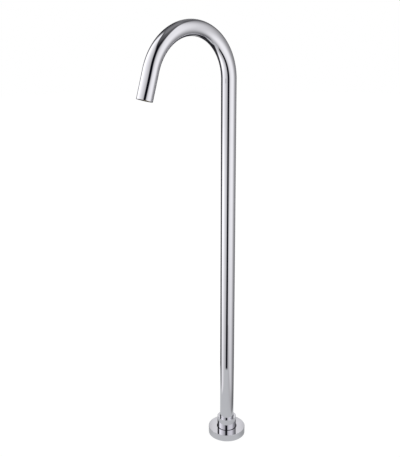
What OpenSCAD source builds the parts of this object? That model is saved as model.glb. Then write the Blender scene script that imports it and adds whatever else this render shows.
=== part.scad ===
// Freestanding tub spout: a gooseneck column that turns on a floor plate, with a cover that lifts
// and a stream former that unscrews. The origin is on the floor, on the column's axis; +Z is up
// and the spout reaches towards -Y.

/* [Column and gooseneck] */
// Outer diameter of the tube
tube_d = 35; // [30:0.5:42]
// Wall of the tube
tube_wall = 1.2; // [1:0.1:2]
// Height at which the straight column starts to bend
bend_start_z = 912; // [600:1:1200]
// Radius of the gooseneck, to the middle of the tube
bend_r = 115; // [90:1:150]
// Lean of the outlet leg out of the vertical
lean = 17.5; // [0:0.5:30]
// Length of the straight outlet leg
leg_len = 63; // [50:1:120]

/* [Cover and collar] */
// Height of the cover's top face above the floor
cover_h = 17.5; // [16.5:0.5:25]
// Wall of the cover
cover_wall = 2; // [1.5:0.1:3]
// Room between the rim of the plate and the cover
cover_room = 2; // [1:0.1:5]
// Wall of the cover's neck round the collar
neck_wall = 2.5; // [2.3:0.1:4]
// Height of the cover's neck
neck_h = 6; // [5:0.1:6.5]
// Rise of the collar above the cover
collar_rise = 29.5; // [22:0.5:60]
// Wall of the collar
collar_wall = 4; // [3.6:0.1:6]
// Height of the collar's inward lip
lip_h = 2.5; // [1.5:0.1:4]
// Bevel of the turned edges that show
edge_bevel = 0.4; // [0.2:0.05:0.8]

/* [Mounting plate] */
// Diameter of the mounting plate
plate_d = 86; // [80:1:120]
// Thickness of the mounting plate
plate_t = 8; // [6:0.5:8]
// Thickness of the gasket on the floor
gasket_t = 1; // [0.5:0.1:2]
// Number of floor screws
floor_holes = 4; // [3:1:6]
// Diameter of the holes for the floor screws
floor_hole_d = 6.5; // [4.5:0.1:7.5]
// Height of the threaded ring that holds the collar
boss_h = 5; // [4:0.1:5.5]
// Wall of the threaded ring that holds the collar
boss_wall = 2; // [1.5:0.1:2]
// Number of grub screws in the collar
grub_count = 3; // [1:1:4]
// Diameter of the grub screws
grub_d = 3; // [2.5:0.1:3]
// Length of the grub screws
grub_len = 3; // [2.5:0.1:3.2]

/* [Inlet spigot] */
// Diameter of the inlet thread, at its crests
inlet_d = 18.6; // [14:0.1:19]
// Depth of the inlet thread
inlet_depth = 15; // [10:0.5:16]
// Diameter of the waterway above the inlet
water_d = 15; // [12:0.1:15.5]
// Diameter of the spigot on which the column turns
spigot_d = 23; // [22:0.1:24]
// Height of the spigot above its shoulder
spigot_h = 58; // [50:0.5:80]
// Diameter of the spigot's thread in the plate
stem_d = 26; // [25:0.1:27]
// Diameter of the spigot's flange under the plate
flange_d = 34; // [31:0.1:38]
// Thickness of the spigot's flange
flange_t = 2.5; // [2:0.1:3.5]
// Thickness of the washer under the nut
washer_t = 1; // [0.6:0.1:1.5]
// Height of the nut
nut_h = 5; // [4:0.1:5.5]
// Width across the flats of the nut
nut_af = 32; // [30:0.1:33]
// Section of the spigot's sealing rings
spigot_cord = 1.75; // [1.5:0.05:2]

/* [Bush and bearing] */
// Thickness of the washer that carries the column
thrust_t = 1.5; // [1:0.1:2]
// Height of the bush's flange, below the tube
bush_flange_h = 5; // [3:0.1:6]
// Height of the bush inside the tube
bush_h = 45; // [35:0.5:48]
// Wall of the bearing sleeve in the collar
bearing_wall = 2.4; // [2.2:0.1:3]

/* [Outlet] */
// Length of the threaded ring in the outlet
insert_len = 13.8; // [12.5:0.1:16]
// Depth of the threaded ring behind the rim
insert_recess = 1.2; // [0.5:0.1:2]
// Height of the seat at the back of the threaded ring
seat_h = 3; // [2:0.1:4]
// Width of that seat
seat_w = 2; // [1.5:0.1:2.5]
// Wall of the threaded ring, at the thread
insert_wall = 2.45; // [2:0.05:3]
// Thickness of the seal in the outlet
seal_t = 2; // [1.5:0.1:2.5]
// Height of the screwed housing
housing_h = 8; // [7.5:0.1:8.5]
// Wall of the screwed housing
housing_wall = 1.45; // [1.2:0.05:1.8]
// Thickness of the housing's inner lip
housing_lip = 1; // [0.6:0.1:1.2]
// Number of key notches in the housing
notch_count = 4; // [2:1:6]
// Distance between the honeycomb's cells
comb_pitch = 3.2; // [2.6:0.1:4]
// Wall between two cells
comb_wall = 0.6; // [0.4:0.05:0.8]
// Thickness of the plate of jets
diffuser_t = 1.5; // [1:0.1:1.6]
// Number of jets in the outer ring
jet_count = 12; // [8:1:16]
// Thickness of the strainer disc
screen_t = 0.5; // [0.4:0.1:0.6]
// Distance between the strainer's holes
screen_pitch = 2.6; // [2.2:0.1:3.2]

/* [Fits] */
// Gap round a part that turns or slides
run_gap = 0.05; // [0.02:0.01:0.1]
// Gap round a part that is pressed, soldered or screwed in
fit_gap = 0.05; // [0.02:0.01:0.1]
// Gap between the cover's neck and the collar
cover_gap = 1.5; // [0.6:0.1:1.6]
// Section of the ring in the cover's neck
grip_cord = 2.4; // [2.2:0.1:2.6]
// Side room in a ring's groove
groove_room = 0.4; // [0.2:0.1:0.6]

/* [Hidden] */
$fn = 96;

// Radii, from the tube outwards
tube_r = tube_d / 2;
tube_in_r = tube_r - tube_wall;
bearing_in_r = tube_r + run_gap;
bearing_out_r = bearing_in_r + bearing_wall;
collar_in_r = bearing_out_r + fit_gap;
collar_r = collar_in_r + collar_wall;
lip_r = tube_r + 2 * run_gap;
boss_r = collar_in_r + boss_wall;
bush_flange_r = collar_in_r - 2 * run_gap;
spigot_r = spigot_d / 2;
bush_in_r = spigot_r + run_gap;
stem_r = stem_d / 2;
flange_r = flange_d / 2;
plate_r = plate_d / 2;

// The cover round the plate and the collar
cover_in_r = plate_r + cover_room;
cover_r = cover_in_r + cover_wall;
neck_in_r = collar_r + cover_gap;
neck_r = neck_in_r + neck_wall;
neck_z = cover_h - neck_h;
grip_r = collar_r + run_gap + grip_cord / 2;
grip_groove_r = collar_r + run_gap + grip_cord + fit_gap;
grip_groove_h = grip_cord + groove_room;
grip_z = cover_h - neck_h / 2;

// Heights, from the floor upwards
plate_top = gasket_t + plate_t;
nut_z = plate_top + washer_t;
shoulder_z = nut_z + nut_h;
bush_z = shoulder_z + thrust_t;
tube_z = bush_z + bush_flange_h;
bush_top = tube_z + bush_h;
spigot_top = shoulder_z + spigot_h;
collar_top = cover_h + collar_rise;
lip_z = collar_top - lip_h;
seal_cord = collar_in_r - bearing_in_r - 2 * fit_gap;
seal_r = bearing_in_r + seal_cord / 2;
seal_z = lip_z - groove_room / 2 - seal_cord / 2;
bearing_top = seal_z - groove_room / 2 - seal_cord / 2;
grub_z = plate_top + boss_h / 2;
grub_r = grub_d / 2;
grub_in = boss_r - boss_wall / 2 - fit_gap;
grub_key = grub_d / 2;
grub_key_depth = grub_len / 3;
grub_turn = 45;
inlet_r = inlet_d / 2;
water_r = water_d / 2;
lead_in = 0.8;

// The floor holes lie midway between the collar and the rim of the plate
floor_pcd = collar_r + plate_r;
floor_hole_r = floor_hole_d / 2;
gasket_bore_r = flange_r + gasket_t;
washer_r = nut_af / 2 + washer_t;

// The spigot's sealing rings, at these shares of the bush's height
ring_places = [0.28, 0.8];
spigot_ring_r = spigot_r - spigot_cord / 2;
spigot_groove_r = spigot_r - spigot_cord;
spigot_groove_h = spigot_cord + groove_room;

// The outlet's rim, and the radii of what it holds
outlet_y = -bend_r * (1 + cos(lean)) - leg_len * sin(lean);
outlet_z = bend_start_z + bend_r * sin(lean) - leg_len * cos(lean);
insert_r = tube_in_r - fit_gap;
insert_in_r = insert_r - insert_wall;
seat_r = insert_in_r - seat_w;
housing_r = insert_in_r - run_gap;
core_r = housing_r - housing_wall;
fill_r = core_r - fit_gap;
housing_lip_r = core_r - housing_lip;

// Depths behind the outlet's rim
insert_end = insert_recess + insert_len;
seat_z = insert_end - seat_h;
housing_top = seat_z - seal_t;
housing_z = housing_top - housing_h;
comb_z = housing_z + housing_lip;
screen_z = housing_top - screen_t;
diffuser_z = screen_z - diffuser_t;
comb_h = diffuser_z - comb_z;
notch_w = 2.4;
notch_h = 1.2;
comb_rim = 0.8;
jet_r = 0.8;
jet_rings = [[0.78, jet_count], [0.42, jet_count / 2]];
screen_rim = 1.2;
screen_hole_r = screen_pitch * 0.36;

// The leg runs this far into the end of the bend, this much inside its face
leg_lap = 2;
leg_step = 0.05;

// Overshoot of every cut
cut = 1;
chrome = [0.86, 0.87, 0.89];
brass = [0.80, 0.66, 0.36];
steel = [0.62, 0.64, 0.66];
rubber = [0.12, 0.12, 0.13];
white_plastic = [0.90, 0.90, 0.88];
grey_plastic = [0.45, 0.46, 0.48];

// A turned ring between two radii and two heights
module ring(inner, outer, low, high) {
    rotate_extrude() translate([inner, low]) square([outer - inner, high - low]);
}

// A round sealing ring
module o_ring(radius, cord, z) {
    translate([0, 0, z]) rotate_extrude() translate([radius, 0]) circle(r = cord / 2);
}

// Copies round the column's axis
module around(count, start = 0) {
    for (i = [0 : count - 1]) rotate([0, 0, start + i * 360 / count]) children();
}

// From the outlet's own frame, where +Z points up the leg from its rim, to the whole part's
module at_outlet() {
    translate([0, outlet_y, outlet_z]) rotate([-lean, 0, 0]) children();
}

// The tube's path filled to one radius, run past both ends by the overshoot
module gooseneck(radius, past) {
    translate([0, 0, tube_z - past]) cylinder(r = radius, h = bend_start_z - tube_z + past);
    translate([0, -bend_r, bend_start_z]) rotate([90, 0, 90])
        rotate_extrude(angle = 180 - lean) translate([bend_r, 0]) circle(r = radius);
    at_outlet() translate([0, 0, -past]) cylinder(r = radius - leg_step, h = leg_len + leg_lap + past);
}

module floor_holes_cut() {
    around(floor_holes) translate([floor_pcd / 2, 0, -cut])
        cylinder(r = floor_hole_r, h = plate_top + 2 * cut);
}

// One grub screw's cylinder, lying along +X
module grub_shape(radius, from, length) {
    translate([from, 0, grub_z]) rotate([0, 90, 0]) cylinder(r = radius, h = length);
}

module base_gasket() {
    color(rubber) difference() {
        ring(gasket_bore_r, plate_r, 0, gasket_t);
        floor_holes_cut();
    }
}

module mounting_plate() {
    color(steel) difference() {
        union() {
            ring(stem_r + fit_gap, plate_r, gasket_t, plate_top);
            ring(collar_in_r, boss_r, plate_top, plate_top + boss_h);
        }
        ring(0, flange_r + fit_gap, gasket_t - cut, gasket_t + flange_t);
        floor_holes_cut();
        around(grub_count, grub_turn) grub_shape(grub_r + fit_gap, grub_in, boss_wall + cut);
    }
}

module inlet_spigot() {
    color(brass) difference() {
        rotate_extrude() polygon([
            [inlet_r, gasket_t], [flange_r, gasket_t], [flange_r, gasket_t + flange_t],
            [stem_r, gasket_t + flange_t], [stem_r, shoulder_z], [spigot_r, shoulder_z],
            [spigot_r, spigot_top - lead_in], [spigot_r - lead_in, spigot_top],
            [water_r, spigot_top], [water_r, gasket_t + inlet_depth],
            [inlet_r, gasket_t + inlet_depth]
        ]);
        for (place = ring_places) {
            z = tube_z + place * bush_h;
            ring(spigot_groove_r, spigot_r + cut, z - spigot_groove_h / 2, z + spigot_groove_h / 2);
        }
    }
}

module lock_washer() {
    color(steel) ring(stem_r + fit_gap, washer_r, plate_top, nut_z);
}

module spigot_nut() {
    color(brass) difference() {
        translate([0, 0, nut_z]) cylinder(r = nut_af / 2 / cos(30), h = nut_h, $fn = 6);
        translate([0, 0, nut_z - cut]) cylinder(r = stem_r + fit_gap, h = nut_h + 2 * cut);
    }
}

module spigot_o_rings() {
    color(rubber) for (place = ring_places)
        o_ring(spigot_ring_r, spigot_cord, tube_z + place * bush_h);
}

module thrust_washer() {
    color(white_plastic) ring(bush_in_r, washer_r, shoulder_z, bush_z);
}

module column_bush() {
    color(brass) rotate_extrude() polygon([
        [bush_in_r, bush_z], [bush_flange_r, bush_z], [bush_flange_r, tube_z],
        [tube_in_r - fit_gap, tube_z], [tube_in_r - fit_gap, bush_top], [bush_in_r, bush_top]
    ]);
}

module collar() {
    color(chrome) difference() {
        rotate_extrude() polygon([
            [boss_r + fit_gap, plate_top], [collar_r, plate_top],
            [collar_r, collar_top - edge_bevel], [collar_r - edge_bevel, collar_top],
            [lip_r + edge_bevel, collar_top], [lip_r, collar_top - edge_bevel], [lip_r, lip_z],
            [collar_in_r, lip_z], [collar_in_r, plate_top + boss_h],
            [boss_r + fit_gap, plate_top + boss_h]
        ]);
        around(grub_count, grub_turn) grub_shape(grub_r + fit_gap, boss_r, collar_wall + cut);
    }
}

module collar_grub_screws() {
    color(steel) around(grub_count, grub_turn) difference() {
        grub_shape(grub_r, grub_in + fit_gap, grub_len);
        translate([grub_in + fit_gap + grub_len - grub_key_depth, 0, grub_z]) rotate([0, 90, 0])
            cylinder(d = grub_key, h = grub_key_depth + cut, $fn = 6);
    }
}

module collar_bearing() {
    color(white_plastic) ring(bearing_in_r, bearing_out_r, tube_z, bearing_top);
}

module collar_seal_ring() {
    color(rubber) o_ring(seal_r, seal_cord, seal_z);
}

module spout_tube() {
    color(chrome) difference() {
        gooseneck(tube_r, 0);
        gooseneck(tube_in_r, cut);
    }
}

module cover_flange() {
    color(chrome) rotate_extrude() polygon([
        [cover_in_r, 0], [cover_r, 0], [cover_r, cover_h - edge_bevel],
        [cover_r - edge_bevel, cover_h], [neck_in_r + edge_bevel, cover_h],
        [neck_in_r, cover_h - edge_bevel], [neck_in_r, grip_z + grip_groove_h / 2],
        [grip_groove_r, grip_z + grip_groove_h / 2], [grip_groove_r, grip_z - grip_groove_h / 2],
        [neck_in_r, grip_z - grip_groove_h / 2], [neck_in_r, neck_z], [neck_r, neck_z],
        [neck_r, cover_h - cover_wall], [cover_in_r, cover_h - cover_wall]
    ]);
}

module cover_grip_ring() {
    color(rubber) o_ring(grip_r, grip_cord, grip_z);
}

module outlet_insert() {
    color(brass) at_outlet() rotate_extrude() polygon([
        [insert_in_r, insert_recess], [insert_r, insert_recess], [insert_r, insert_end],
        [seat_r, insert_end], [seat_r, seat_z], [insert_in_r, seat_z]
    ]);
}

module aerator_washer() {
    color(rubber) at_outlet() ring(seat_r, housing_r, housing_top, seat_z);
}

module aerator_screen() {
    reach = fill_r - screen_rim - screen_hole_r;
    rows = floor(reach / screen_pitch) + 1;
    color(steel) at_outlet() difference() {
        translate([0, 0, screen_z]) cylinder(r = fill_r, h = screen_t);
        for (row = [-rows : rows], place = [-rows : rows]) {
            x = (place + row / 2) * screen_pitch;
            y = row * screen_pitch * sin(60);
            if (norm([x, y]) < reach) translate([x, y, screen_z - cut])
                cylinder(r = screen_hole_r, h = screen_t + 2 * cut, $fn = 24);
        }
    }
}

module aerator_diffuser() {
    color(white_plastic) at_outlet() difference() {
        translate([0, 0, diffuser_z]) cylinder(r = fill_r, h = diffuser_t);
        for (jets = jet_rings) around(jets[1]) translate([jets[0] * fill_r, 0, diffuser_z - cut])
            cylinder(r = jet_r, h = diffuser_t + 2 * cut, $fn = 24);
    }
}

module aerator_honeycomb() {
    cell_r = (comb_pitch - comb_wall) / 2 / cos(30);
    reach = fill_r - comb_rim - cell_r;
    rows = floor(reach / comb_pitch) + 2;
    color(grey_plastic) at_outlet() difference() {
        translate([0, 0, comb_z]) cylinder(r = fill_r, h = comb_h);
        for (row = [-rows : rows], place = [-rows : rows]) {
            x = row * comb_pitch * sin(60);
            y = (place + row / 2) * comb_pitch;
            if (norm([x, y]) < reach) translate([x, y, comb_z - cut])
                cylinder(r = cell_r, h = comb_h + 2 * cut, $fn = 6);
        }
    }
}

module aerator_housing() {
    color(grey_plastic) at_outlet() difference() {
        rotate_extrude() polygon([
            [housing_lip_r, housing_z], [housing_r, housing_z], [housing_r, housing_top],
            [core_r, housing_top], [core_r, comb_z], [housing_lip_r, comb_z]
        ]);
        around(notch_count, grub_turn) translate([core_r, -notch_w / 2, housing_z - cut])
            cube([housing_wall + cut, notch_w, notch_h + cut]);
    }
}

base_gasket();
mounting_plate();
inlet_spigot();
lock_washer();
spigot_nut();
spigot_o_rings();
thrust_washer();
collar();
collar_grub_screws();
collar_bearing();
collar_seal_ring();
spout_tube();
column_bush();
outlet_insert();
cover_flange();
cover_grip_ring();
aerator_washer();
aerator_screen();
aerator_diffuser();
aerator_honeycomb();
aerator_housing();
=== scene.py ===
"""A freestanding tub spout: its bent chrome tube, its turned fittings, and a light tent round them."""

import math
from typing import NamedTuple

import bmesh
import bpy
from mathutils import Matrix, Vector


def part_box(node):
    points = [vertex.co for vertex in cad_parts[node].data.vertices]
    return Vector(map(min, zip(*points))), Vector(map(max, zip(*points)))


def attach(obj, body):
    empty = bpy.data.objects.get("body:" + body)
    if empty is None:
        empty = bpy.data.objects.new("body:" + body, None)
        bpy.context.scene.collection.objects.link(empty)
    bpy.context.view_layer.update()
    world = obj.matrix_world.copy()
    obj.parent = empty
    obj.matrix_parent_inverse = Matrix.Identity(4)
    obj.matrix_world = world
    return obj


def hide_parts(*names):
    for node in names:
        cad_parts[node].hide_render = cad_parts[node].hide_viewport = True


bl_info = {
    "name": "Freestanding tub spout",
    "version": (1, 0, 0),
    "blender": (4, 5, 0),
    "location": "3D View > Sidebar > Tub spout",
    "description": "Makes a floor-standing gooseneck bath spout, its finishes and a light tent",
    "category": "Object",
}

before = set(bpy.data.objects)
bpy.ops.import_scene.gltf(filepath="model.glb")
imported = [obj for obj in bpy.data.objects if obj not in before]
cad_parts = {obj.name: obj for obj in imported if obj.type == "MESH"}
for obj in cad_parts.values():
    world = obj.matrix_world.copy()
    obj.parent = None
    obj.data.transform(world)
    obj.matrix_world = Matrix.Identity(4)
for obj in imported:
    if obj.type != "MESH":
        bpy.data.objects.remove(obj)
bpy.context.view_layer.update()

MM = 0.001
SENSOR_MM = 36.0
tube_low, tube_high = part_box("spout_tube")
collar_low, collar_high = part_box("collar")
cover_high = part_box("cover_flange")[1]
plate_low, plate_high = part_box("mounting_plate")
spigot_low, spigot_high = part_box("inlet_spigot")

# Sizes that two pieces share
STEM_BORE = 13.05 * MM
OUTLET_PITCH = 1 * MM
GRUB_SCREWS = {"square": False, "count": 3, "first": 45, "half": 1.55 * MM}


class Number:
    """One number in a node tree, which Python's own operators reckon with."""

    def __init__(self, board, socket):
        self.board = board
        self.socket = socket

    def __add__(self, other):
        return self.board.reckon("ADD", self, other)

    def __radd__(self, other):
        return self.board.reckon("ADD", other, self)

    def __sub__(self, other):
        return self.board.reckon("SUBTRACT", self, other)

    def __rsub__(self, other):
        return self.board.reckon("SUBTRACT", other, self)

    def __mul__(self, other):
        return self.board.reckon("MULTIPLY", self, other)

    def __rmul__(self, other):
        return self.board.reckon("MULTIPLY", other, self)

    def __truediv__(self, other):
        return self.board.reckon("DIVIDE", self, other)

    def __neg__(self):
        return self.board.reckon("MULTIPLY", self, -1.0)

    def __abs__(self):
        return self.board.reckon("ABSOLUTE", self)


class Board:
    """A node tree, and the one way in which nodes are put on it."""

    def __init__(self, tree):
        self.tree = tree

    def node(self, kind, sockets=None, **settings):
        """Adds a node, makes its settings, then gives its sockets values or links."""
        made = self.tree.nodes.new(kind)
        for name, value in settings.items():
            setattr(made, name, value)
        for name, value in (sockets or {}).items():
            value = value.socket if isinstance(value, Number) else value
            if isinstance(value, bpy.types.NodeSocket):
                self.tree.links.new(value, made.inputs[name])
            else:
                made.inputs[name].default_value = value
        return made

    def output(self, kind, sockets=None, **settings):
        """Adds a node and gives its first output."""
        return self.node(kind, sockets, **settings).outputs[0]

    def reckon(self, operation, *terms):
        """One step of arithmetic."""
        return Number(self, self.output("ShaderNodeMath", dict(enumerate(terms)), operation=operation))

    def step(self, value, start, end):
        """Rises smoothly from 0 to 1 as the value goes from start to end."""
        ends = {"Value": value, "From Min": start, "From Max": end}
        return Number(self, self.output("ShaderNodeMapRange", ends, interpolation_type="SMOOTHSTEP"))

    def fall(self, value, start, end):
        """Falls smoothly from 1 to 0 as the value goes from start to end."""
        return 1 - self.step(value, start, end)

    def past(self, value, edge, soft):
        """Rises smoothly from 0 to 1 across an edge, over a softness on both its sides."""
        return self.step(value - edge, -soft, soft)

    def window(self, value, rise, drop):
        """Is 1 between a rise and a drop, which are each a (start, end), and 0 beyond them."""
        return self.step(value, *rise) * self.fall(value, *drop)

    def between(self, share, first, second):
        """Goes from the first number to the second as the share goes from 0 to 1."""
        return first + (second - first) * share

    def blend(self, share, first, second):
        """Mixes two colours by a share."""
        colours = {0: share, 6: (*first, 1.0), 7: (*second, 1.0)}
        return self.node("ShaderNodeMix", colours, data_type="RGBA").outputs[2]

    def mix(self, share, first, second):
        """Mixes two shaders by a share."""
        return self.output("ShaderNodeMixShader", {0: share, 1: first, 2: second})

    def triple(self, sockets):
        """A vector from numbers, where the axes that aren't given are 0."""
        return self.output("ShaderNodeCombineXYZ", sockets)

    def split(self, vector):
        """The three numbers of a vector."""
        made = self.node("ShaderNodeSeparateXYZ", {0: vector})
        return [Number(self, socket) for socket in made.outputs]


def new_material(name):
    """An empty node material and its board."""
    material = bpy.data.materials.new(name)
    material.use_nodes = True
    material.node_tree.nodes.clear()
    return material, Board(material.node_tree)


class Finish(NamedTuple):
    """The numbers of one finish.

    The colour goes from dull to bright and the roughness from gloss to rough as grain and tool marks rise.
    Marks is the distance between tool marks, and outlet says that they go round the outlet's axis.
    """

    dull: tuple
    bright: tuple
    gloss: float
    rough: float
    metal: float
    grain: float
    bump: float = 0.0
    marks: float = 0.0
    outlet: bool = False


def finish_material(name, finish, size):
    """A finish whose colour, gloss and surface follow a grain, and tool marks where the piece is turned."""
    material, board = new_material(name)
    place = board.node("ShaderNodeTexCoord").outputs["Object"]
    if finish.outlet:
        leg = {"Vector": place, "Location": outlet_point(size), "Rotation": (-size.lean, 0.0, 0.0)}
        place = board.output("ShaderNodeMapping", leg, vector_type="TEXTURE")
    waver, lines_share, cloud_ends = 0.05 * MM, 0.7, (0.3, 0.7)
    grain = {"Vector": place, "Scale": finish.grain, "Detail": 3.0, "Roughness": 0.6}
    noise = Number(board, board.output("ShaderNodeTexNoise", grain))
    cloud = relief = board.step(noise, *cloud_ends)
    if finish.marks:
        x, y, z = board.split(place)
        out = board.reckon("SQRT", x * x + y * y)
        wave = board.reckon("SINE", (out + z + cloud * waver) * (2 * math.pi / finish.marks))
        lines = wave * 0.5 + 0.5
        relief = cloud * (1 - lines_share) + lines * lines_share
    look = {
        "Base Color": board.blend(relief, finish.dull, finish.bright),
        "Roughness": board.between(relief, finish.gloss, finish.rough),
        "Metallic": finish.metal,
    }
    shader = board.node("ShaderNodeBsdfPrincipled", look)
    if finish.bump:
        surface = {"Strength": finish.bump, "Distance": 0.1 * MM, "Height": relief}
        board.tree.links.new(board.output("ShaderNodeBump", surface), shader.inputs["Normal"])
    board.node("ShaderNodeOutputMaterial", {"Surface": shader.outputs[0]})
    return material


def finishes(scene):
    """Every finish of the spout by name, made once."""
    look, size = scene.spout_finish, scene.spout_tube
    chrome, brass, steel = tuple(look.chrome), tuple(look.brass), tuple(look.steel)
    rubber, pale, grey = tuple(look.rubber), tuple(look.pale_plastic), tuple(look.grey_plastic)
    bore_dull, bore_bright, gloss = (0.03, 0.03, 0.031), (0.09, 0.09, 0.094), look.chrome_roughness
    fine_cut, coarse_cut = 0.35 * MM, 0.6 * MM
    made = {
        "polished chrome": Finish(shade(chrome, 0.985), chrome, gloss, gloss * 1.5, metal=1.0, grain=45.0),
        "dull bore": Finish(bore_dull, bore_bright, 0.5, 0.7, metal=0.5, grain=700.0, bump=0.3),
        "turned brass": Finish(
            shade(brass, 0.82), brass, 0.2, 0.36, metal=1.0, grain=260.0, bump=0.12, marks=fine_cut
        ),
        # The brass inside the outlet is darkened to 0.3 to 0.42 of the brass colour: painted shade in the
        # mouth of the outlet
        "outlet brass in painted shade": Finish(
            shade(brass, 0.3), shade(brass, 0.42), 0.12, 0.2,
            metal=1.0, grain=260.0, bump=0.1, marks=fine_cut, outlet=True,
        ),
        "turned steel": Finish(
            shade(steel, 0.86), steel, 0.26, 0.4, metal=1.0, grain=300.0, bump=0.1, marks=coarse_cut
        ),
        "strainer steel": Finish(
            shade(steel, 0.9), steel, 0.2, 0.35, metal=1.0, grain=900.0, bump=0.1, outlet=True
        ),
        "black rubber": Finish(rubber, shade(rubber, 1.6), 0.7, 0.9, metal=0.0, grain=1500.0, bump=0.35),
        "pale acetal": Finish(shade(pale, 0.94), pale, 0.36, 0.5, metal=0.0, grain=520.0, bump=0.1),
        "grey acetal": Finish(
            shade(grey, 0.88), grey, 0.34, 0.5, metal=0.0, grain=760.0, bump=0.12, outlet=True
        ),
    }
    for name, finish in made.items():
        if name not in bpy.data.materials:
            finish_material(name, finish, size)
    return bpy.data.materials


def shade(colour, share):
    """A darker or a lighter colour of the same tint."""
    return tuple(min(1.0, part * share) for part in colour)


def outlet_point(size):
    """The middle of the outlet's rim."""
    y = -size.bend_radius * (1 + math.cos(size.lean)) - size.leg * math.sin(size.lean)
    z = size.bend_height + size.bend_radius * math.sin(size.lean) - size.leg * math.cos(size.lean)
    return Vector((0.0, y, z))


def carried_to_outlet(mesh, size):
    """Carries a mesh from the outlet's own frame, where +Z points up the leg, to the part's frame."""
    mesh.transform(Matrix.Translation(outlet_point(size)) @ Matrix.Rotation(-size.lean, 4, "X"))
    return mesh


def rounded(corners, arc_steps=5, support=0.15 * MM):
    """An outline from corners (r, z, rounding), with a support point on both sides of each rounding."""
    outline = []
    for n, (r, z, radius) in enumerate(corners):
        here = Vector((r, z))
        if radius <= 0:
            outline.append(here)
            continue
        before = (Vector(corners[n - 1][:2]) - here).normalized()
        after = (Vector(corners[(n + 1) % len(corners)][:2]) - here).normalized()
        half = before.angle(after) / 2
        reach = radius / math.tan(half)
        centre = here + (before + after).normalized() * radius / math.sin(half)
        first, last = here + before * reach, here + after * reach
        turn = (first - centre).angle_signed(last - centre)
        outline.append(here + before * (reach + support))
        for k in range(arc_steps + 1):
            outline.append(centre + Matrix.Rotation(-turn * k / arc_steps, 2) @ (first - centre))
        outline.append(here + after * (reach + support))
    return outline


def turned(name, outline, around=192):
    """A closed ring of faces, turned round the Z axis from an outline of (r, z)."""
    work = bmesh.new()
    turns = [2 * math.pi * k / around for k in range(around)]
    rings = [[work.verts.new((p.x * math.cos(a), p.x * math.sin(a), p.y)) for a in turns] for p in outline]
    for n, ring in enumerate(rings):
        after = rings[(n + 1) % len(rings)]
        for k in range(around):
            j = (k + 1) % around
            work.faces.new((ring[k], ring[j], after[j], after[k])).smooth = True
    bmesh.ops.recalc_face_normals(work, faces=work.faces)
    return closed_mesh(name, work)


def closed_mesh(name, work):
    """Ends the work on a mesh."""
    mesh = bpy.data.meshes.new(name)
    work.to_mesh(mesh)
    work.free()
    return mesh


def placed(name, data):
    """Puts a mesh, a lamp or a camera in the scene."""
    made = bpy.data.objects.new(name, data)
    bpy.context.scene.collection.objects.link(made)
    return made


def add_piece(name, mesh, body, nodes):
    """Puts a finished mesh in the scene, on its body and in place of its CAD nodes."""
    mesh.name = name
    piece = placed(name, mesh)
    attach(piece, body)
    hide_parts(*nodes)


def dress(names, material):
    """Gives carried-over CAD nodes a finish."""
    for name in names:
        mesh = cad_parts[name].data
        mesh.materials.clear()
        mesh.materials.append(material)


def new_tree(name, geometry_in, numbers, materials):
    """A geometry tree with named inputs, and its board and input sockets."""
    tree = bpy.data.node_groups.new(name, "GeometryNodeTree")
    inputs = {"Geometry": [geometry_in], "Float": numbers, "Material": materials}
    for kind, labels in inputs.items():
        for label in labels:
            tree.interface.new_socket(label, in_out="INPUT", socket_type=f"NodeSocket{kind}")
    tree.interface.new_socket("Piece", in_out="OUTPUT", socket_type="NodeSocketGeometry")
    board = Board(tree)
    given = board.node("NodeGroupInput").outputs
    return board, given, [Number(board, given[label]) for label in numbers]


def close_tree(board, geometry, material, selection=None):
    """Ends a tree: real geometry, in its material."""
    whole = board.output("GeometryNodeRealizeInstances", {0: geometry})
    painted = board.node("GeometryNodeSetMaterial", {"Geometry": whole, "Material": material})
    if selection is not None:
        board.tree.links.new(selection, painted.inputs["Selection"])
    board.node("NodeGroupOutput", {0: painted.outputs[0]})
    return board.tree


def shaped_by(tree, mesh, inputs):
    """Runs a geometry tree over a mesh and gives the result back as a plain mesh."""
    holder = placed("holder", mesh)
    modifier = holder.modifiers.new("shape", "NODES")
    modifier.node_group = tree
    for item in tree.interface.items_tree:
        if item.in_out == "INPUT" and item.name in inputs:
            modifier[item.identifier] = inputs[item.name]
    graph = bpy.context.evaluated_depsgraph_get()
    made = bpy.data.meshes.new_from_object(holder.evaluated_get(graph))
    bpy.data.objects.remove(holder)
    for n in reversed(range(len(made.materials))):
        if made.materials[n] is None:
            made.materials.pop(index=n)
    return made


def gooseneck_tree():
    """Bends a straight tube, which stands on the floor, along column, gooseneck and outlet leg."""
    board, given, numbers = new_tree(
        "along the gooseneck",
        "Straight tube",
        ("Bend height", "Bend radius", "Bend angle"),
        ("Outside finish", "Bore finish"),
    )
    bend_height, bend_radius, bend_angle = numbers
    x, y, run = board.split(board.output("GeometryNodeInputPosition"))
    straight = board.reckon("MINIMUM", run, bend_height)
    turn = board.reckon("MINIMUM", (run - bend_height) / bend_radius, bend_angle)
    turn = board.reckon("MAXIMUM", turn, 0.0)
    past = board.reckon("MAXIMUM", run - bend_height - bend_radius * bend_angle, 0.0)
    sine, cosine = board.reckon("SINE", turn), board.reckon("COSINE", turn)
    bent_y = y * cosine - bend_radius * (1 - cosine) - past * sine
    bent_z = y * sine + straight + bend_radius * sine + past * cosine
    bent = board.triple({0: x, 1: bent_y, 2: bent_z})
    moved = board.output("GeometryNodeSetPosition", {"Geometry": given["Straight tube"], "Position": bent})
    plated = {"Geometry": moved, "Material": given["Outside finish"]}
    outside = board.output("GeometryNodeSetMaterial", plated)
    bore = board.output("GeometryNodeInputNamedAttribute", {"Name": "bore"}, data_type="BOOLEAN")
    return close_tree(board, outside, given["Bore finish"], bore)


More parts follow.
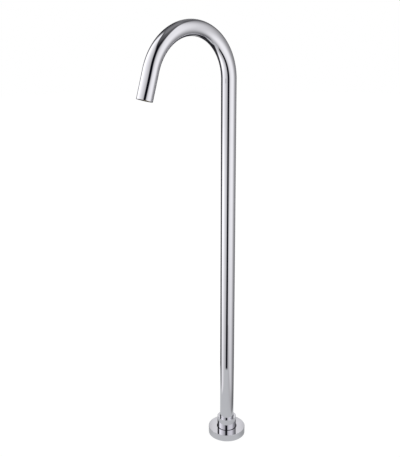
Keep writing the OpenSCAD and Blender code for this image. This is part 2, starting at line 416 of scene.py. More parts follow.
def cut_round_tree(square):
    """Cuts a ring of round or square holes through a turned piece, upright or tilted to lie outwards."""
    board, given, numbers = new_tree(
        "notched round the wall" if square else "drilled round the wall",
        "Turned piece",
        ("Count", "First turn", "Tilt", "Height", "From", "Length", "Half width"),
        ("Finish",),
    )
    count, first, tilt, height, start, length, half = numbers
    if square:
        block = board.triple({0: half * 2, 1: half * 2, 2: length})
        cutter = board.output("GeometryNodeMeshCube", {"Size": block})
    else:
        bar = {"Vertices": 32, "Radius": half, "Depth": length}
        cutter = board.output("GeometryNodeMeshCylinder", bar)
    place = {
        "Geometry": cutter,
        "Translation": board.triple({0: start + length * 0.5, 2: height}),
        "Rotation": board.triple({1: tilt}),
    }
    laid = board.output("GeometryNodeTransform", place)
    points = board.output("GeometryNodeMeshLine", {"Count": count, "Offset": (0.0, 0.0, 0.0)})
    number = Number(board, board.output("GeometryNodeInputIndex"))
    spin = board.triple({2: first + number * (2 * math.pi) / count})
    copies = {"Points": points, "Instance": laid, "Rotation": spin}
    ring = board.output("GeometryNodeInstanceOnPoints", copies)
    cutters = board.output("GeometryNodeRealizeInstances", {0: ring})
    parts = {0: given["Turned piece"], 1: cutters}
    cut = board.output("GeometryNodeMeshBoolean", parts, operation="DIFFERENCE", solver="EXACT")
    return close_tree(board, cut, given["Finish"])


def thread_tree():
    """Winds a right-hand thread on a turned piece, from its root radius in or out to its crest."""
    board, given, numbers = new_tree(
        "screw thread",
        "Turned piece",
        ("Root radius", "Crest radius", "Pitch", "Turns", "Start"),
        ("Finish",),
    )
    root, crest, pitch, turns, start = numbers
    foot_share, crest_share = 0.9, 0.16
    coil = {
        "Resolution": 72, "Rotations": turns, "Start Radius": root, "End Radius": root,
        "Height": pitch * turns, "Reverse": True,
    }
    spiral = board.output("GeometryNodeCurveSpiral", coil)
    upright = board.output("GeometryNodeSetCurveNormal", {0: spiral}, mode="Z_UP")
    raised = {"Geometry": upright, "Translation": board.triple({2: start})}
    lifted = board.output("GeometryNodeTransform", raised)
    section = {
        "Bottom Width": pitch * foot_share, "Top Width": pitch * crest_share,
        "Height": abs(crest - root), "Offset": 0.0,
    }
    turned_out = {
        "Geometry": board.output("GeometryNodeCurvePrimitiveQuadrilateral", section, mode="TRAPEZOID"),
        "Translation": board.triple({0: (crest - root) * 0.5}),
        "Rotation": (0.0, 0.0, -math.pi / 2),
        "Scale": board.triple({0: 1.0, 1: board.reckon("SIGN", crest - root), 2: 1.0}),
    }
    ridge = board.output("GeometryNodeTransform", turned_out)
    sweep = {"Curve": lifted, "Profile Curve": ridge, "Fill Caps": True}
    wound = board.output("GeometryNodeCurveToMesh", sweep)
    inward = board.reckon("LESS_THAN", crest, root)
    outside = board.output("GeometryNodeFlipFaces", {"Mesh": wound, "Selection": inward})
    joined = board.node("GeometryNodeJoinGeometry", {0: given["Turned piece"]})
    board.tree.links.new(outside, joined.inputs[0])
    return close_tree(board, joined.outputs[0], given["Finish"])


def threaded(mesh, root, crest, pitch, start, turns, finish):
    """Winds a thread on a turned mesh."""
    inputs = {
        "Root radius": root, "Crest radius": crest, "Pitch": pitch,
        "Start": start, "Turns": turns, "Finish": finish,
    }
    return shaped_by(thread_tree(), mesh, inputs)


def cut_round(mesh, square, count, first, height, start, length, half, finish, tilt=math.pi / 2):
    """Cuts a ring of holes or notches through a turned mesh, the first of them at an angle in degrees."""
    inputs = {
        "Count": float(count), "First turn": math.radians(first), "Tilt": tilt, "Height": height,
        "From": start, "Length": length, "Half width": half, "Finish": finish,
    }
    return shaped_by(cut_round_tree(square), mesh, inputs)


def number_property(name, description, default, **kind):
    """A number."""
    return bpy.props.FloatProperty(name=name, description=description, default=default, **kind)


def length_property(name, description, default):
    """A length with its unit."""
    return number_property(name, description, default, unit="LENGTH")


def angle_property(name, description, degrees):
    """An angle, given in degrees."""
    return number_property(name, description, math.radians(degrees), subtype="ANGLE")


def light_property(name, default):
    """The light of one place in the tent."""
    return number_property(name, "Brightness, where 1 is white", default, min=0.0, soft_max=3.0)


def colour_property(name, description, default):
    """A colour."""
    return bpy.props.FloatVectorProperty(
        name=name, description=description, default=default, subtype="COLOR", min=0.0, max=1.0
    )


class SpoutTube(bpy.types.PropertyGroup):
    """Sizes of the bent tube"""

    radius: length_property("Tube radius", "Outer radius of the tube", tube_high.x)
    wall: length_property("Wall", "Thickness of the tube's wall", 1.2 * MM)
    foot: length_property("Foot", "Height of the tube's lower end", tube_low.z)
    bend_height: length_property("Bend height", "Height at which the bend starts", 912 * MM)
    bend_radius: length_property("Bend radius", "Radius of the gooseneck", 115 * MM)
    lean: angle_property("Lean", "Lean of the outlet leg", 17.5)
    leg: length_property("Leg", "Length of the outlet leg", 63 * MM)
    draw: length_property("Draw", "How much thinner the leg is drawn than the column", 0.05 * MM)
    rim: length_property("Rim rounding", "Rounding of the tube's ends", 0.25 * MM)


class FloorTrim(bpy.types.PropertyGroup):
    """Sizes of the collar and the cover"""

    collar_radius: length_property("Collar radius", "Outer radius of the collar", collar_high.x)
    collar_top: length_property("Collar top", "Height of the collar's top", collar_high.z)
    collar_foot: length_property("Collar foot", "Height of the collar's lower end", collar_low.z)
    lip_radius: length_property("Lip radius", "Inner radius of the collar's lip", 17.6 * MM)
    cover_radius: length_property("Cover radius", "Outer radius of the cover", cover_high.x)
    cover_height: length_property("Cover height", "Height of the cover's top", cover_high.z)
    cover_bore: length_property("Cover bore", "Radius of the hole round the collar", 25.5 * MM)
    edge: length_property("Edge rounding", "Rounding of the turned edges", 0.4 * MM)


class SpoutFinish(bpy.types.PropertyGroup):
    """Colours and gloss"""

    chrome: colour_property("Chrome", "Colour of the chrome", (0.695, 0.69, 0.727))
    chrome_roughness: number_property(
        "Chrome roughness", "Roughness of the polished chrome", 0.02, subtype="FACTOR", min=0.0, max=1.0
    )
    brass: colour_property("Brass", "Colour of the brass fittings", (0.78, 0.63, 0.33))
    steel: colour_property("Steel", "Colour of the plated steel", (0.66, 0.68, 0.70))
    rubber: colour_property("Rubber", "Colour of the seals", (0.035, 0.035, 0.037))
    pale_plastic: colour_property("Pale plastic", "Colour of the bearings", (0.86, 0.86, 0.83))
    grey_plastic: colour_property("Grey plastic", "Colour of the stream former", (0.36, 0.37, 0.39))


class TentLight(bpy.types.PropertyGroup):
    """The light tent, by the angle round the column from the way to the camera"""

    radius: length_property("Radius", "Radius of the tent's wall", 0.676)
    slit_turn: angle_property("Slit", "Middle of the dark slit", -3.9)
    slit_half: angle_property("Slit half-width", "Half the width of the slit", 13.5)
    left_far: light_property("Left panel, far side", 1.73)
    left_near: light_property("Left panel, at the slit", 0.576)
    right_peak: light_property("Right panel, brightest", 1.224)
    right_tail: light_property("Right panel, at its sides", 0.316)
    right_turn: angle_property("Right panel's middle", "Where the right panel is brightest", 58.3)
    ceiling: light_property("Roof, at its edge", 0.13)
    zenith: light_property("Roof, straight above", 0.264)
    back_low: light_property("Back wall, low down", 0.047)
    back_high: light_property("Back wall, high up", 0.148)
    back_gap: light_property("Gap in the back wall", 0.923)
    board: light_property("Pale board underfoot", 0.678)
    board_side: light_property("Board, on the right", 0.598)
    strip: number_property("Strip", "Share of light lost beside the board", 0.25, subtype="FACTOR")
    board_reach: length_property("Board's reach", "How far the board comes forward", 0.3635)
    panel_top: length_property("Panel top", "Height of the panels at the slit", 1.4)


class CameraPlace(bpy.types.PropertyGroup):
    """Where the camera stands and looks"""

    distance: length_property("Distance", "Level distance from the column", 1.588181)
    height: length_property("Height", "Height above the floor", 1.061532)
    azimuth: angle_property("Azimuth", "Angle from the +X axis", -45.411)
    pitch: angle_property("Pitch", "Angle below the horizon", 17.496)
    yaw: angle_property("Yaw", "Turn away from the column", -2.418)
    roll: angle_property("Roll", "Tilt of the horizon", -0.363)
    lens: number_property("Lens", "Focal length on a 36 mm sensor, in millimetres", 54.598, min=1.0)


class SPOUT_OT_tube(bpy.types.Operator):
    """Sweep the tube along column, gooseneck and outlet leg"""

    bl_idname = "spout.tube"
    bl_label = "Gooseneck tube"

    def execute(self, context):
        size, finish = context.scene.spout_tube, finishes(context.scene)
        bend_angle = math.pi - size.lean
        mesh = turned("gooseneck_tube", self.straight_outline(size, bend_angle))
        lining = mesh.attributes.new("bore", "BOOLEAN", "FACE")
        middle = size.radius - size.wall / 2
        for face in mesh.polygons:
            lining.data[face.index].value = math.hypot(face.center.x, face.center.y) < middle
        bend = {
            "Bend height": size.bend_height, "Bend radius": size.bend_radius, "Bend angle": bend_angle,
            "Outside finish": finish["polished chrome"], "Bore finish": finish["dull bore"],
        }
        mesh = shaped_by(gooseneck_tree(), mesh, bend)
        add_piece("gooseneck_tube", mesh, "column", ["spout_tube"])
        return {"FINISHED"}

    def straight_outline(self, size, bend_angle):
        """The wall of the tube before it is bent, with rings along the bend, where it thins to the leg."""
        outer, inner, thin, steps = size.radius, size.radius - size.wall, size.draw, 120
        bend_length = size.bend_radius * bend_angle
        end = size.bend_height + bend_length + size.leg
        corners = [(outer, size.foot), (outer - thin, end), (inner - thin, end), (inner, size.foot)]
        ends = rounded([(r, z, size.rim) for r, z in corners], arc_steps=4)
        stations = [(k, size.bend_height + bend_length * k / steps) for k in range(steps + 1)]
        outline = []
        for n, here in enumerate(ends):
            outline.append(here)
            after = ends[(n + 1) % len(ends)]
            if abs(after.y - here.y) > size.leg:
                way = stations if after.y > here.y else reversed(stations)
                wide = max(here.x, after.x)
                outline.extend(Vector((wide - thin * k / steps, z)) for k, z in way)
        return outline


class SPOUT_OT_collar(bpy.types.Operator):
    """Turn the collar round the foot of the column and drill it for its grub screws"""

    bl_idname = "spout.collar"
    bl_label = "Collar"

    def execute(self, context):
        size = context.scene.spout_trim
        outer, top, foot, edge = size.collar_radius, size.collar_top, size.collar_foot, size.edge
        bore, root, shoulder, lip_low = outer - 4 * MM, outer - 1.95 * MM, foot + 5 * MM, top - 2.5 * MM
        screw_height, beside = foot + 2.5 * MM, 1.9 * MM
        outline = [
            (root, foot, 0), (outer, foot, edge / 2), (outer, top, edge), (size.lip_radius, top, edge),
            (size.lip_radius, lip_low, 0), (bore, lip_low, 0), (bore, shoulder, 0), (root, shoulder, 0),
        ]
        ring = rounded(outline)
        side = next(n for n, p in enumerate(ring) if p.x > outer - edge / 10 and p.y > foot + edge)
        for z in (cover_high.z, screw_height + beside, screw_height - beside):
            ring.insert(side, Vector((outer, z)))
        mesh = cut_round(
            turned("turned_collar", ring), **GRUB_SCREWS, height=screw_height, start=outer - 2 * MM,
            length=4 * MM, finish=finishes(context.scene)["polished chrome"],
        )
        add_piece("turned_collar", mesh, "base", ["collar"])
        return {"FINISHED"}


class SPOUT_OT_cover(bpy.types.Operator):
    """Turn the round cover that hides the floor screws"""

    bl_idname = "spout.cover"
    bl_label = "Cover"

    def execute(self, context):
        size = context.scene.spout_trim
        outer, top, bore, edge = size.cover_radius, size.cover_height, size.cover_bore, size.edge
        wall, neck, groove = 2 * MM, 28 * MM, 26.5 * MM
        neck_low, groove_low, groove_high = top - 6 * MM, top - 4.4 * MM, top - 1.6 * MM
        outline = [
            (outer - wall, 0, 0), (outer, 0, edge / 2), (outer, top, edge), (bore, top, edge),
            (bore, groove_high, 0), (groove, groove_high, 0), (groove, groove_low, 0),
            (bore, groove_low, 0), (bore, neck_low, 0), (neck, neck_low, 0),
            (neck, top - wall, 0), (outer - wall, top - wall, 0),
        ]
        mesh = turned("turned_cover", rounded(outline))
        mesh.materials.append(finishes(context.scene)["polished chrome"])
        add_piece("turned_cover", mesh, "cover", ["cover_flange"])
        return {"FINISHED"}


class SPOUT_OT_base(bpy.types.Operator):
    """Turn and drill the mounting plate and its gasket, and cut the flats of the spigot's nut"""

    bl_idname = "spout.base"
    bl_label = "Mounting plate, gasket and nut"

    def execute(self, context):
        finish = finishes(context.scene)
        self.plate(finish["turned steel"])
        self.gasket(finish["black rubber"])
        self.nut(finish["turned brass"])
        return {"FINISHED"}

    def plate(self, finish):
        """The steel plate with the ring that holds the collar, drilled for both kinds of screw."""
        outer, low, top, ring_top = plate_high.x, plate_low.z, 9 * MM, plate_high.z
        ring, ring_bore, flange_bore, flange_top = 22 * MM, 20 * MM, 17.05 * MM, 3.5 * MM
        outline = [
            (flange_bore, low, 0), (outer, low, 0.2 * MM), (outer, top, 0.6 * MM), (ring, top, 0),
            (ring, ring_top, 0.3 * MM), (ring_bore, ring_top, 0.2 * MM), (ring_bore, top, 0),
            (STEM_BORE, top, 0), (STEM_BORE, flange_top, 0), (flange_bore, flange_top, 0),
        ]
        mesh = turned("drilled_plate", rounded(outline, arc_steps=3), around=128)
        mesh = self.screw_holes(mesh, finish)
        mesh = cut_round(
            mesh, **GRUB_SCREWS, height=(top + ring_top) / 2, start=ring - 1.05 * MM, length=2 * MM,
            finish=finish,
        )
        add_piece("drilled_plate", mesh, "base", ["mounting_plate"])

    def gasket(self, finish):
        """The rubber sheet under the plate."""
        bore, outer, top, soft = 18 * MM, plate_high.x, plate_low.z, 0.2 * MM
        outline = [(bore, 0, soft), (outer, 0, soft), (outer, top, soft), (bore, top, soft)]
        mesh = turned("drilled_gasket", rounded(outline, arc_steps=3, support=0.05 * MM), around=128)
        mesh = self.screw_holes(mesh, finish)
        add_piece("drilled_gasket", mesh, "base", ["base_gasket"])

    def nut(self, finish):
        """The nut, turned with a chamfer at both ends and then cut to six flats, three at a time."""
        flat, low, high, chamfer = 16 * MM, 10 * MM, 15 * MM, 0.8 * MM
        corner = flat / math.cos(math.radians(30))
        face = corner - 2 * chamfer
        outline = [
            (STEM_BORE, low, 0.2 * MM), (face, low, 0), (corner, low + chamfer, 0),
            (corner, high - chamfer, 0), (face, high, 0), (STEM_BORE, high, 0.2 * MM),
        ]
        mesh = turned("hexagon_nut", rounded(outline, arc_steps=3), around=96)
        for first in (30, 90):
            mesh = cut_round(
                mesh, square=True, count=3, first=first, height=(low + high) / 2, start=flat,
                length=6 * MM, half=10 * MM, finish=finish,
            )
        add_piece("hexagon_nut", mesh, "base", ["spigot_nut"])

    def screw_holes(self, mesh, finish):
        """Drills the four upright holes for the floor screws."""
        circle, hole, length = 33.5 * MM, 3.25 * MM, 30 * MM
        return cut_round(
            mesh, square=False, count=4, first=0, tilt=0.0, height=0.0, start=circle - length / 2,
            length=length, half=hole, finish=finish,
        )


class SPOUT_OT_spigot(bpy.types.Operator):
    """Turn the inlet spigot and cut its pipe thread"""

    bl_idname = "spout.spigot"
    bl_label = "Inlet spigot"

    def execute(self, context):
        finish = finishes(context.scene)["turned brass"]
        low, high, flange_top = spigot_low.z, spigot_high.z, spigot_low.z + 2.5 * MM
        crest, root, pitch, water = 9.3 * MM, 10.45 * MM, 1.814 * MM, 7.5 * MM
        flange, stem, spigot = spigot_high.x, 13 * MM, 11.5 * MM
        shoulder, thread_end, chamfer, soft = 15 * MM, low + 15 * MM, 0.8 * MM, 0.3 * MM
        groove, groove_half, groove_heights = spigot - 1.75 * MM, 1.075 * MM, (34.1 * MM, 57.5 * MM)
        outline = [
            (root, low, soft), (flange, low, soft), (flange, flange_top, 0.2 * MM),
            (stem, flange_top, 0), (stem, shoulder, 0.2 * MM), (spigot, shoulder, 0),
        ]
        for z in groove_heights:
            start, end = z - groove_half, z + groove_half
            outline += [(spigot, start, 0), (groove, start, 0), (groove, end, 0), (spigot, end, 0)]
        outline += [
            (spigot, high - chamfer, 0), (spigot - chamfer, high, 0), (water, high, 0),
            (water, thread_end, 0), (root, thread_end, 0),
        ]
        mesh = turned("threaded_spigot", rounded(outline, arc_steps=3), around=96)
        mesh = threaded(mesh, root, crest, pitch, start=low + 0.9 * MM, turns=7.3, finish=finish)
        add_piece("threaded_spigot", mesh, "base", ["inlet_spigot"])
        return {"FINISHED"}


class SPOUT_OT_outlet(bpy.types.Operator):
    """Turn the outlet's insert and the housing of the stream former, and cut their threads"""

    bl_idname = "spout.outlet"
    bl_label = "Outlet insert and housing"

    def execute(self, context):
        size, finish = context.scene.spout_tube, finishes(context.scene)
        self.insert(size, finish["outlet brass in painted shade"])
        self.housing(size, finish["grey acetal"])
        return {"FINISHED"}

    def insert(self, size, finish):
        """The ring in the end of the leg, threaded inside, with a seat for the washer above its thread."""
        crest, root, seat = 13.8 * MM, 14.35 * MM, 11.8 * MM
        outer, soft = size.radius - size.wall - 0.05 * MM, 0.2 * MM
        low, seat_low, high = 1.2 * MM, 12 * MM, 15 * MM
        outline = [
            (root, low, 0), (outer, low, soft), (outer, high, soft), (seat, high, 0),
            (seat, seat_low, 0), (root, seat_low, 0),
        ]
        mesh = turned("threaded_insert", rounded(outline, arc_steps=3), around=96)
        mesh = threaded(mesh, root, crest, OUTLET_PITCH, start=low + 0.55 * MM, turns=9.6, finish=finish)
        add_piece("threaded_insert", carried_to_outlet(mesh, size), "column", ["outlet_insert"])

    def housing(self, size, finish):
        """The ring that screws into the insert, with four notches for its key in its lower face."""
        crest, root, core, lip = 13.75 * MM, 13.2 * MM, 12.3 * MM, 11.3 * MM
        low, inside, guard, high = 2 * MM, 3 * MM, 3.5 * MM, 10 * MM
        outline = [
            (lip, low, 0.2 * MM), (crest, low, 0.2 * MM), (crest, guard, 0), (root, guard, 0),
            (root, high, 0.1 * MM), (core, high, 0.1 * MM), (core, inside, 0), (lip, inside, 0.1 * MM),
        ]
        mesh = turned("threaded_housing", rounded(outline, arc_steps=3), around=96)
        mesh = cut_round(
            mesh, square=True, count=4, first=45, height=low, start=core - 0.3 * MM,
            length=2.5 * MM, half=1.2 * MM, finish=finish,
        )
        mesh = threaded(mesh, root, crest, OUTLET_PITCH, start=guard + 0.5 * MM, turns=5.5, finish=finish)
        mesh = carried_to_outlet(mesh, size)
        add_piece("threaded_housing", mesh, "aerator_ring", ["aerator_housing"])


class SPOUT_OT_fittings(bpy.types.Operator):
    """Give the brass, steel, rubber and plastic pieces their finishes"""

    bl_idname = "spout.fittings"
    bl_label = "Fittings"

    def execute(self, context):
        finish = finishes(context.scene)
        rings = ["spigot_o_rings", "collar_seal_ring", "cover_grip_ring", "aerator_washer"]
        dress(["column_bush"], finish["turned brass"])
        dress(["lock_washer", "collar_grub_screws"], finish["turned steel"])
        dress(["aerator_screen"], finish["strainer steel"])
        dress(rings, finish["black rubber"])
        dress(["thrust_washer", "collar_bearing", "aerator_diffuser"], finish["pale acetal"])
        dress(["aerator_honeycomb"], finish["grey acetal"])
        return {"FINISHED"}


def place_from_camera(board, facing):
    """A point of the stage, seen from the column towards the camera: how far ahead, aside and up it is."""
    x, y, height = board.split(board.node("ShaderNodeTexCoord").outputs["Object"])
    ahead = x * math.cos(facing) + y * math.sin(facing)
    aside = y * math.cos(facing) - x * math.sin(facing)
    return ahead, aside, height


def turn_from_camera(board, ahead, aside):
    """The angle round the column from the way to the camera, in degrees."""
    return board.reckon("ARCTAN2", aside, ahead) * math.degrees(1)


def glow(board, red, green, blue):
    """Light whose colour may vary."""
    colour = board.output("ShaderNodeCombineColor", {0: red, 1: green, 2: blue})
    return board.output("ShaderNodeEmission", {"Color": colour})


def close_paint(material, board, surface):
    """Ends a stage material, and keeps its glow from being sampled as a lamp."""
    board.node("ShaderNodeOutputMaterial", {"Surface": surface})
    material.cycles.emission_sampling = "NONE"
    return material


def slit_sides(board, tent, height):
    """The turns of the slit's left and right side: the left leans at the foot, and both bow higher up."""
    middle, half = math.degrees(tent.slit_turn), math.degrees(tent.slit_half)
    foot, foot_lean = (-0.1, 0.45), 3.6
    bow_start, left_bow_end, right_bow_end = (0.84, 0.9), (1.03, 1.1), (0.97, 1.06)
    left_bow, right_bow = 4.0, 6.0
    left = middle - half - board.fall(height, *foot) * foot_lean
    left = left - board.window(height, bow_start, left_bow_end) * left_bow
    right = middle + half - board.window(height, bow_start, right_bow_end) * right_bow
    return left, right


def left_panel(board, tent, turn, height, high, side):
    """The left panel: its light, which grows away from the slit, and where it is."""
    near, far = math.degrees(tent.slit_turn - tent.slit_half), -93.0
    dip, dip_loss, top, top_loss = ((0.45, 0.8), (0.85, 1.05)), 0.15, (1.2, 1.9), 0.22
    along = board.output("ShaderNodeMapRange", {0: turn, "From Min": far, "From Max": near})
    fade = 1 - board.window(height, *dip) * dip_loss - board.step(height, *top) * top_loss
    light = board.between(Number(board, along), fade * tent.left_far, tent.left_near)

    edge_turn, edge_soft, side_soft, high_shift = -103.6, 13.2, 2.2, 6.9
    shifts = (
        (5.0, (0.85, 0.95), (1.02, 1.15)),
        (2.0, (-0.05, 0.15), (0.4, 0.7)),
        (-2.3, (0.6, 0.8), (0.85, 0.95)),
    )
    edge = edge_turn - high * high_shift
    for shift, rise, drop in shifts:
        edge = edge - board.window(height, rise, drop) * shift
    return light, board.past(turn, edge, edge_soft) * (1 - board.past(turn, side, side_soft))


def right_panel(board, tent, turn, height, high, side):
    """The right panel: its light, a bell round its middle that is weaker at the slit, and where it is."""
    left_width, right_width, high_widening, high_loss = 98.0, 32.0, 20.6, 0.1
    off = turn - math.degrees(tent.right_turn)
    beyond = board.reckon("GREATER_THAN", off, 0.0)
    off = off / board.between(beyond, left_width, right_width + high * high_widening)
    bell = board.reckon("EXPONENT", -(off * off))
    light = tent.right_tail + (tent.right_peak - tent.right_tail - high * high_loss) * bell

    middle_loss, middle_heights, top_loss, top_heights = 0.25, (0.25, 0.6), 0.13, (0.8, 1.1)
    veil_turns, side_soft, edge = (-5.0, 30.0), 5.1, (140.0, 153.1)
    veil = board.step(height, *middle_heights) * middle_loss + board.step(height, *top_heights) * top_loss
    light = light * (1 - board.fall(turn - side, *veil_turns) * veil)
    return light, board.past(turn, side, side_soft) * board.fall(turn, *edge)


def back_wall(board, tent, turn, height):
    """The light of the back: paler high up and in its middle, with a dark nook and a dark corner."""
    rise, right_end, right_loss = (0.3, 1.4), (90.0, 110.0), 0.018
    middle_turns, middle_heights, middle_gain = (152.0, 170.0), (1.0, 1.3), 0.08
    nook_turns, nook_heights, nook_light = ((-170.0, -150.0), (-125.0, -115.0)), (0.3, 0.9), 0.03
    corner_turns, corner_loss = ((-165.0, -155.0), (-138.0, -125.0)), 0.75
    corner_heights = ((0.62, 0.78), (1.5, 2.0))
    light = board.between(board.step(height, *rise), tent.back_low, tent.back_high)
    light = light - board.step(turn, *right_end) * right_loss
    middle = board.step(abs(turn), *middle_turns) * board.step(height, *middle_heights)
    nook = board.window(turn, *nook_turns) * board.fall(height, *nook_heights)
    light = board.between(nook, light + middle * middle_gain, nook_light)
    corner = board.window(turn, *corner_turns) * board.window(height, *corner_heights)
    return light * (1 - corner * corner_loss)


def beside_panels(board, tent, turn, height):
    """The light where no panel is: nearly none in front, the back wall, and the roof above both."""
    back_turns, front_top, roof, zenith = (95.0, 125.0), (1.52, 2.33), (2.3, 3.3), (2.5, 6.0)
    front_light, roof_gain = 0.004, 0.153
    behind = board.step(abs(turn), *back_turns)
    above = board.between(board.step(height, *zenith), tent.ceiling + behind * roof_gain, tent.zenith)
    front = board.between(board.step(height, *front_top), front_light, above)
    low = board.between(behind, front, back_wall(board, tent, turn, height))
    return board.between(board.step(height, *roof), low, above)


def tent_paint(tent, facing):
    """The light of the tent: two bright panels, a dark slit towards the camera, a dim back and a roof."""
    material, board = new_material("tent cloth")
    ahead, aside, height = place_from_camera(board, facing)
    turn = turn_from_camera(board, ahead, aside)
    arch_heights = (0.9, 1.5)
    high = board.step(height, *arch_heights)
    left_side, right_side = slit_sides(board, tent, height)
    left, left_here = left_panel(board, tent, turn, height, high, left_side)
    right, right_here = right_panel(board, tent, turn, height, high, right_side)

    side_rise, top_soft = 1.192, 0.19
    across = board.reckon("SINE", turn * math.radians(1))
    under = 1 - board.past(height, tent.panel_top + across * across * side_rise, top_soft)
    left_here, right_here = left_here * under, right_here * under

    gap_turns, gap_heights = (169.6, 176.5), ((0.35, 0.45), (0.5, 0.55))
    gap = board.step(abs(turn), *gap_turns) * board.window(height, *gap_heights)
    other = (1 - left_here - right_here) * (1 - gap)
    wall = left * left_here + right * right_here + gap * tent.back_gap
    wall = wall + beside_panels(board, tent, turn, height) * other

    below, below_share, blue_cast = (-0.6, 0.6), 0.583, 0.005
    wall = wall * board.between(board.step(height, *below), below_share, 1.0)
    return close_paint(material, board, glow(board, wall, wall, wall + blue_cast))


def mirrored_floor(board, tent, facing):
    """What mirrors see of the floor: a pale board, a dim strip beside it, and the tent beyond them."""
    ahead, aside = place_from_camera(board, facing)[:2]
    turn = turn_from_camera(board, ahead, aside)
    out = board.reckon("SQRT", ahead * ahead + aside * aside)
    end_soft, back_end, board_sides = 0.01, (-0.337, -0.297), ((-0.238, -0.198), (0.09, 0.13))
    there = board.window(aside, *board_sides) * board.step(ahead, *back_end)
    there = there * (1 - board.past(out, tent.board_reach, end_soft))

    to_right, foot, right_shadow, left_shadow = (-0.052, 0.26), (0.055, 0.09), 0.34, 0.2
    right_turns, left_turns, strip_sides = (35.0, 80.0), (-85.0, -50.0), ((0.09, 0.12), (0.158, 0.258))
    level = board.between(board.step(aside, *to_right), tent.board, tent.board_side)
    shadow = board.step(turn, *right_turns) * right_shadow + board.fall(turn, *left_turns) * left_shadow
    level = level * (1 - shadow * board.fall(out, *foot))
    red_share, blue_share = 0.978, 1.004
    pale = glow(board, level * red_share, level, level * blue_share)

    strip = board.window(aside, *strip_sides) * tent.strip
    dark = board.output("ShaderNodeEmission", {"Strength": 0.0})
    clear = board.output("ShaderNodeBsdfTransparent")
    return board.mix(there, board.mix(strip, clear, dark), pale)


def floor_paint(tent, facing):
    """White with a faint shadow to the camera, and what mirrors see of the floor."""
    material, board = new_material("pale floor")
    white_light, cloth_grey, cloth_share = 1.04, 0.94, 0.15
    rays = board.node("ShaderNodeLightPath").outputs
    white = board.output("ShaderNodeEmission", {"Strength": white_light})
    cloth = board.output("ShaderNodeBsdfDiffuse", {"Color": (cloth_grey, cloth_grey, cloth_grey, 1.0)})
    plain = board.mix(rays["Is Camera Ray"], cloth, board.mix(cloth_share, white, cloth))
    mirror_ray = board.reckon("MAXIMUM", rays["Is Glossy Ray"], rays["Is Transmission Ray"])
    whole = board.mix(mirror_ray, plain, mirrored_floor(board, tent, facing))
    return close_paint(material, board, whole)


def stage_piece(name, work, material):
    """Puts a stage mesh in the scene."""
    mesh = closed_mesh(name, work)
    mesh.materials.append(material)
    made = placed(name, mesh)
    return made


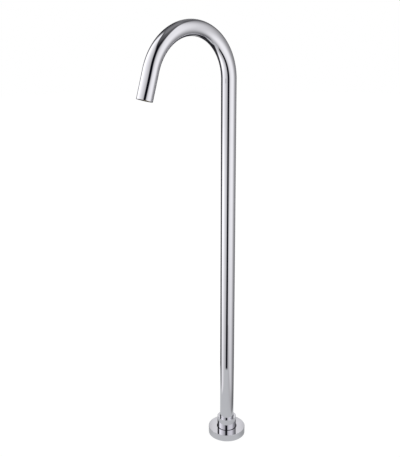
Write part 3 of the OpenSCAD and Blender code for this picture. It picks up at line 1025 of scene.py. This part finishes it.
class SPOUT_OT_stage(bpy.types.Operator):
    """Set the floor, the light tent, the plain soft light and the camera"""

    bl_idname = "spout.stage"
    bl_label = "Stage"

    def execute(self, context):
        scene = context.scene
        tent, spot = scene.spout_tent, scene.spout_camera
        self.floor(tent, spot)
        self.tent(tent, spot)
        self.room(scene)
        self.camera(scene, spot)
        scene.view_settings.view_transform = "Standard"
        return {"FINISHED"}

    def floor(self, tent, spot):
        """Lays the floor."""
        radius, segments = 8.0, 96
        work = bmesh.new()
        bmesh.ops.create_circle(work, cap_ends=True, radius=radius, segments=segments)
        bmesh.ops.recalc_face_normals(work, faces=work.faces)
        stage_piece("floor", work, floor_paint(tent, spot.azimuth))

    def tent(self, tent, spot):
        """Stands the tent round the spout, where only mirrors see it."""
        low, high, around, radius = -9.0, 12.0, 128, tent.radius
        work = bmesh.new()
        bmesh.ops.create_cone(
            work, cap_ends=True, segments=around, radius1=radius, radius2=radius, depth=high - low
        )
        bmesh.ops.translate(work, verts=work.verts, vec=(0.0, 0.0, (high + low) / 2))
        made = stage_piece("light_tent", work, tent_paint(tent, spot.azimuth))
        made.visible_camera = made.visible_diffuse = made.visible_shadow = made.visible_transmission = False

    def room(self, scene):
        """Gives the room its plain soft light."""
        room_light, seen_light, place, target = 0.9, 1.0, Vector((1.2, -0.4, 2.4)), Vector((0.0, 0.0, 0.4))
        world = bpy.data.worlds.new("soft white room")
        world.use_nodes = True
        world.node_tree.nodes.clear()
        board = Board(world.node_tree)
        seen = Number(board, board.node("ShaderNodeLightPath").outputs["Is Camera Ray"])
        level = board.between(seen, room_light, seen_light)
        sky = board.output("ShaderNodeBackground", {"Color": level})
        board.node("ShaderNodeOutputWorld", {"Surface": sky})
        scene.world = world
        lamp = bpy.data.lights.new("softbox", "AREA")
        lamp.shape, lamp.size, lamp.energy = "DISK", 1.2, 10.0
        softbox = placed("softbox", lamp)
        softbox.location = place
        softbox.rotation_euler = (target - place).to_track_quat("-Z", "Y").to_euler()
        softbox.visible_glossy = softbox.visible_camera = False

    def camera(self, scene, spot):
        """Stands the camera where the photograph was taken from."""
        level = Matrix.Rotation(spot.azimuth + math.pi / 2, 3, "Z")
        right = Vector((math.cos(spot.yaw), -math.sin(spot.yaw), 0.0))
        ahead = Vector((math.sin(spot.yaw), math.cos(spot.yaw), 0.0)) * math.cos(spot.pitch)
        ahead.z = -math.sin(spot.pitch)
        up = right.cross(ahead)
        side = right * math.cos(spot.roll) + up * math.sin(spot.roll)
        top = up * math.cos(spot.roll) - right * math.sin(spot.roll)
        axes = level @ Matrix((side, top, -ahead)).transposed()
        camera = placed("camera", bpy.data.cameras.new("camera"))
        camera.data.sensor_width, camera.data.lens = SENSOR_MM, spot.lens
        place = level @ Vector((0.0, -spot.distance, spot.height))
        camera.matrix_world = Matrix.Translation(place) @ axes.to_4x4()
        scene.camera = camera


class SPOUT_PT_panel(bpy.types.Panel):
    """Lists the spout's pieces and their sizes"""

    bl_label = "Tub spout"
    bl_idname = "SPOUT_PT_panel"
    bl_space_type = "VIEW_3D"
    bl_region_type = "UI"
    bl_category = "Tub spout"

    def draw(self, context):
        for made in OPERATORS:
            self.layout.operator(made.bl_idname)
        for name, group in GROUPS.items():
            box = self.layout.box()
            box.label(text=group.__doc__)
            for held in group.__annotations__:
                box.prop(getattr(context.scene, name), held)


OPERATORS = (
    SPOUT_OT_tube,
    SPOUT_OT_collar,
    SPOUT_OT_cover,
    SPOUT_OT_base,
    SPOUT_OT_spigot,
    SPOUT_OT_outlet,
    SPOUT_OT_fittings,
    SPOUT_OT_stage,
)
GROUPS = {
    "spout_tube": SpoutTube,
    "spout_trim": FloorTrim,
    "spout_finish": SpoutFinish,
    "spout_tent": TentLight,
    "spout_camera": CameraPlace,
}


def register():
    for made in (*GROUPS.values(), *OPERATORS, SPOUT_PT_panel):
        bpy.utils.register_class(made)
    for name, group in GROUPS.items():
        setattr(bpy.types.Scene, name, bpy.props.PointerProperty(type=group))


def unregister():
    for name in GROUPS:
        delattr(bpy.types.Scene, name)
    for made in reversed((*GROUPS.values(), *OPERATORS, SPOUT_PT_panel)):
        bpy.utils.unregister_class(made)


def main():
    """Makes the pieces and the stage in order."""
    register()
    bpy.ops.spout.tube()
    bpy.ops.spout.collar()
    bpy.ops.spout.cover()
    bpy.ops.spout.base()
    bpy.ops.spout.spigot()
    bpy.ops.spout.outlet()
    bpy.ops.spout.fittings()
    bpy.ops.spout.stage()


if __name__ == "__main__":
    main()
